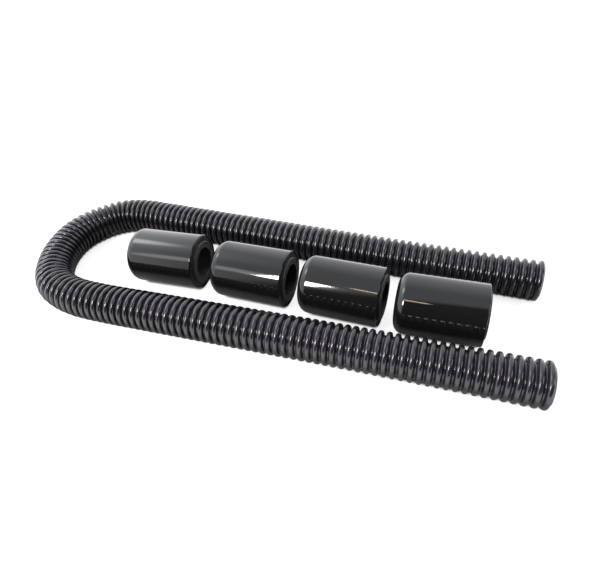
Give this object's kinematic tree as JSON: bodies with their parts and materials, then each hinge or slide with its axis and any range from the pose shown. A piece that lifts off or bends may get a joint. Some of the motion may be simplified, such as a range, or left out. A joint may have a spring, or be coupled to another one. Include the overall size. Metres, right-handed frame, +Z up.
{
  "type": "vacuum hose",
  "caption": "Black corrugated flexible hose lying in a U, open at both ends, with loose round push-on cuffs: gloss shells over clamped rubber sleeves with reducer rings.",
  "frame": {"origin": "on the surface, under the middle of the whole set", "axes": "+X along the legs of the U, towards the open ends; +Z up from the surface"},
  "size_m": [0.5988, 0.2143, 0.0634],
  "materials": {
    "hose": "gloss black, ribbed",
    "cuff_shell": "high gloss black",
    "sleeve_rubber": "matt black rubber",
    "reducer_rubber": "matt black rubber",
    "clamp_steel": "rolled stainless strip",
    "clamp_screw": "zinc plated"
  },
  "bodies": {
    "root": {"hose": "hose"},
    "cuff_1_hose_screw": {"cuff_1_hose_clamp_screw": "clamp_screw"},
    "cuff_1_pipe_screw": {"cuff_1_pipe_clamp_screw": "clamp_screw"},
    "cuff_1_core": {"cuff_1_sleeve": "sleeve_rubber", "cuff_1_reducer": "reducer_rubber", "cuff_1_hose_clamp_band": "clamp_steel", "cuff_1_hose_clamp_housing": "clamp_steel", "cuff_1_pipe_clamp_band": "clamp_steel", "cuff_1_pipe_clamp_housing": "clamp_steel"},
    "cuff_1_shell": {"cuff_1_shell": "cuff_shell"},
    "cuff_2_hose_screw": {"cuff_2_hose_clamp_screw": "clamp_screw"},
    "cuff_2_pipe_screw": {"cuff_2_pipe_clamp_screw": "clamp_screw"},
    "cuff_2_core": {"cuff_2_sleeve": "sleeve_rubber", "cuff_2_reducer": "reducer_rubber", "cuff_2_hose_clamp_band": "clamp_steel", "cuff_2_hose_clamp_housing": "clamp_steel", "cuff_2_pipe_clamp_band": "clamp_steel", "cuff_2_pipe_clamp_housing": "clamp_steel"},
    "cuff_2_shell": {"cuff_2_shell": "cuff_shell"},
    "cuff_3_hose_screw": {"cuff_3_hose_clamp_screw": "clamp_screw"},
    "cuff_3_pipe_screw": {"cuff_3_pipe_clamp_screw": "clamp_screw"},
    "cuff_3_core": {"cuff_3_sleeve": "sleeve_rubber", "cuff_3_reducer": "reducer_rubber", "cuff_3_hose_clamp_band": "clamp_steel", "cuff_3_hose_clamp_housing": "clamp_steel", "cuff_3_pipe_clamp_band": "clamp_steel", "cuff_3_pipe_clamp_housing": "clamp_steel"},
    "cuff_3_shell": {"cuff_3_shell": "cuff_shell"},
    "cuff_4_hose_screw": {"cuff_4_hose_clamp_screw": "clamp_screw"},
    "cuff_4_pipe_screw": {"cuff_4_pipe_clamp_screw": "clamp_screw"},
    "cuff_4_core": {"cuff_4_sleeve": "sleeve_rubber", "cuff_4_reducer": "reducer_rubber", "cuff_4_hose_clamp_band": "clamp_steel", "cuff_4_hose_clamp_housing": "clamp_steel", "cuff_4_pipe_clamp_band": "clamp_steel", "cuff_4_pipe_clamp_housing": "clamp_steel"},
    "cuff_4_shell": {"cuff_4_shell": "cuff_shell"}
  },
  "joints": [
    {"name": "cuff_1_lift", "type": "slide", "parent": "root", "child": "cuff_1_core", "axis": [0, 0, 1], "range_m": [0, 0.12]},
    {"name": "cuff_1_shell_slide", "type": "slide", "parent": "cuff_1_core", "child": "cuff_1_shell", "axis": [-0.9995, -0.0314, 0], "range_m": [0, 0.06]},
    {"name": "cuff_1_hose_screw_turn", "type": "hinge", "parent": "cuff_1_core", "child": "cuff_1_hose_screw", "pos_m": [-0.14357, -0.00397, 0.05885], "axis": [-0.0314, 0.9995, 0], "continuous": true},
    {"name": "cuff_1_pipe_screw_turn", "type": "hinge", "parent": "cuff_1_core", "child": "cuff_1_pipe_screw", "pos_m": [-0.09759, -0.00252, 0.05885], "axis": [-0.0314, 0.9995, 0], "continuous": true},
    {"name": "cuff_2_lift", "type": "slide", "parent": "root", "child": "cuff_2_core", "axis": [0, 0, 1], "range_m": [0, 0.12]},
    {"name": "cuff_2_shell_slide", "type": "slide", "parent": "cuff_2_core", "child": "cuff_2_shell", "axis": [-0.9996, 0.0297, 0], "range_m": [0, 0.018]},
    {"name": "cuff_2_hose_screw_turn", "type": "hinge", "parent": "cuff_2_core", "child": "cuff_2_hose_screw", "pos_m": [-0.03297, -0.00625, 0.05885], "axis": [0.0297, 0.9996, 0], "continuous": true},
    {"name": "cuff_2_pipe_screw_turn", "type": "hinge", "parent": "cuff_2_core", "child": "cuff_2_pipe_screw", "pos_m": [0.01301, -0.00762, 0.05885], "axis": [0.0297, 0.9996, 0], "continuous": true},
    {"name": "cuff_3_lift", "type": "slide", "parent": "root", "child": "cuff_3_core", "axis": [0, 0, 1], "range_m": [0, 0.12]},
    {"name": "cuff_3_shell_slide", "type": "slide", "parent": "cuff_3_core", "child": "cuff_3_shell", "axis": [-0.999, 0.0436, 0], "range_m": [0, 0.014]},
    {"name": "cuff_3_hose_screw_turn", "type": "hinge", "parent": "cuff_3_core", "child": "cuff_3_hose_screw", "pos_m": [0.07147, -0.01049, 0.05885], "axis": [0.0436, 0.999, 0], "continuous": true},
    {"name": "cuff_3_pipe_screw_turn", "type": "hinge", "parent": "cuff_3_core", "child": "cuff_3_pipe_screw", "pos_m": [0.11742, -0.0125, 0.05885], "axis": [0.0436, 0.999, 0], "continuous": true},
    {"name": "cuff_4_lift", "type": "slide", "parent": "root", "child": "cuff_4_core", "axis": [0, 0, 1], "range_m": [0, 0.12]},
    {"name": "cuff_4_shell_slide", "type": "slide", "parent": "cuff_4_core", "child": "cuff_4_shell", "axis": [-1, -0.0035, 0], "range_m": [0, 0.011]},
    {"name": "cuff_4_hose_screw_turn", "type": "hinge", "parent": "cuff_4_core", "child": "cuff_4_hose_screw", "pos_m": [0.1724, -0.01614, 0.05885], "axis": [-0.0035, 1, 0], "continuous": true},
    {"name": "cuff_4_pipe_screw_turn", "type": "hinge", "parent": "cuff_4_core", "child": "cuff_4_pipe_screw", "pos_m": [0.2184, -0.01598, 0.05885], "axis": [-0.0035, 1, 0], "continuous": true}
  ]
}
